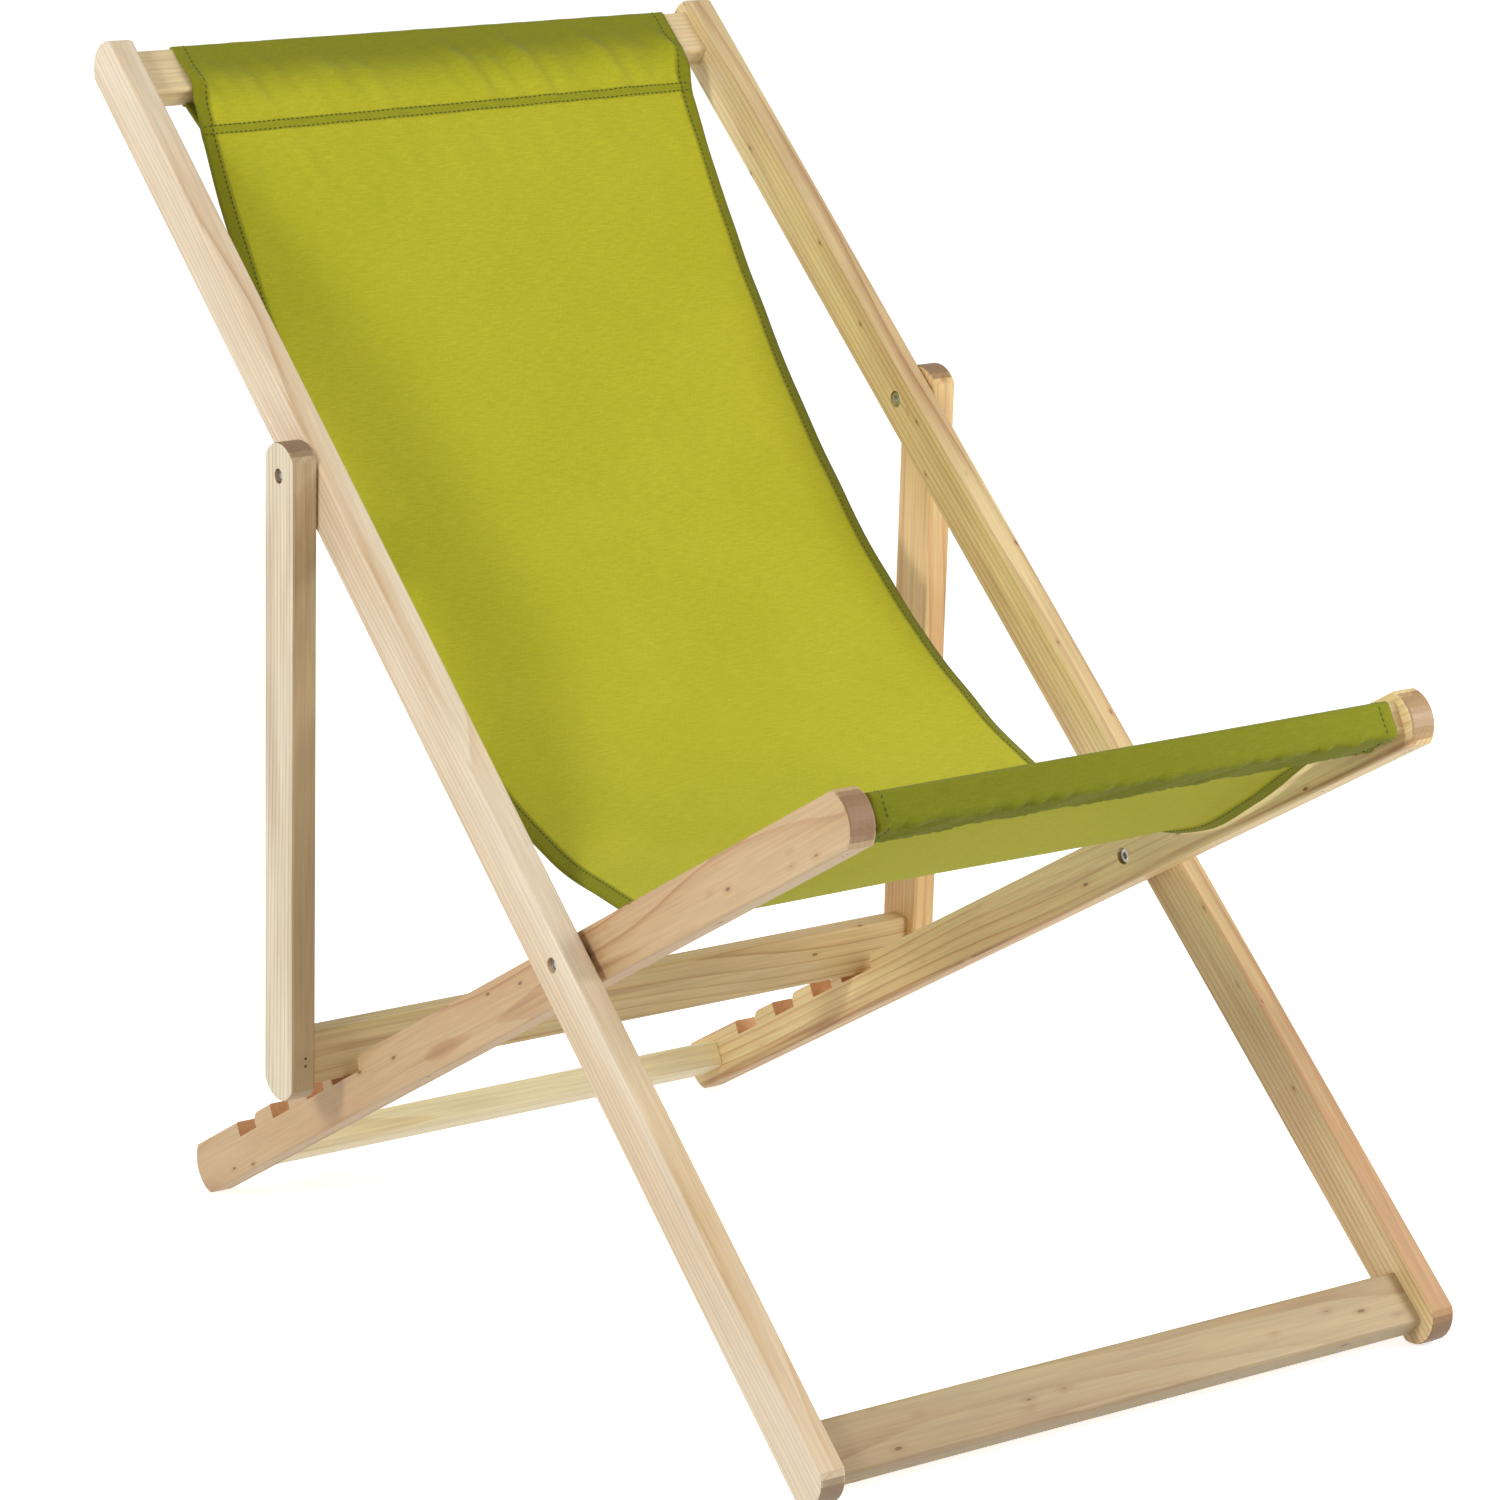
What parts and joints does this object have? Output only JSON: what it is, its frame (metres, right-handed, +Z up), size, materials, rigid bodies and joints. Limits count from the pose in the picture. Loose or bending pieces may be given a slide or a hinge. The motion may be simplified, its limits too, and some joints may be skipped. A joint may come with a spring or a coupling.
{
  "type": "folding deck chair",
  "caption": "Folding wooden deck chair with a hanging fabric sling, a notched seat frame and a swinging prop frame that sets the recline.",
  "frame": {"origin": "on the floor, in the middle plane between the side rails, under the middle of the overall length, with the chair set up in its lowest recline", "axes": "+Z up, -Y the way the sitter faces, +Y to the top of the back, +X to the sitter's left"},
  "size_m": [0.589, 0.9357, 0.9037],
  "materials": {
    "pale_wood": "smooth pale hardwood, clear finish",
    "red_wood": "smooth reddish heartwood, clear finish",
    "honey_wood": "smooth golden wood with small knots, clear finish",
    "zinc_steel": "bright zinc plating",
    "dark_steel": "dull zinc plating",
    "nail_steel": "dark, slightly rusted",
    "lime_canvas": "matt woven canvas"
  },
  "bodies": {
    "long_frame": {"left_long_rail": "pale_wood", "right_long_rail": "pale_wood", "top_cross_rail": "honey_wood", "foot_cross_rail": "honey_wood", "sling": "lime_canvas"},
    "seat_frame": {"front_sling_bar": "honey_wood", "left_seat_bolt": "zinc_steel", "left_seat_nail_a": "nail_steel", "left_seat_nail_b": "nail_steel", "left_seat_nut": "zinc_steel", "left_seat_rail": "red_wood", "left_seat_spacer": "dark_steel", "rear_floor_bar": "honey_wood", "right_seat_bolt": "zinc_steel", "right_seat_nail_a": "nail_steel", "right_seat_nail_b": "nail_steel", "right_seat_nut": "zinc_steel", "right_seat_rail": "red_wood", "right_seat_spacer": "dark_steel"},
    "prop_frame": {"left_prop_bolt": "zinc_steel", "left_prop_leg": "pale_wood", "left_prop_nail_a": "nail_steel", "left_prop_nail_b": "nail_steel", "left_prop_nut": "zinc_steel", "left_prop_washer": "dark_steel", "prop_cross_bar": "honey_wood", "right_prop_bolt": "zinc_steel", "right_prop_leg": "pale_wood", "right_prop_nail_a": "nail_steel", "right_prop_nail_b": "nail_steel", "right_prop_nut": "zinc_steel", "right_prop_washer": "dark_steel"}
  },
  "joints": [
    {"name": "seat_fold", "type": "hinge", "parent": "long_frame", "child": "seat_frame", "pos_m": [0, -0.1504, 0.306], "axis": [1, 0, 0], "range_deg": [-103, 0], "deforming": ["sling"]},
    {"name": "prop_fold", "type": "hinge", "parent": "long_frame", "child": "prop_frame", "pos_m": [0, 0.16498, 0.60851], "axis": [1, 0, 0], "range_deg": [0, 128]}
  ]
}
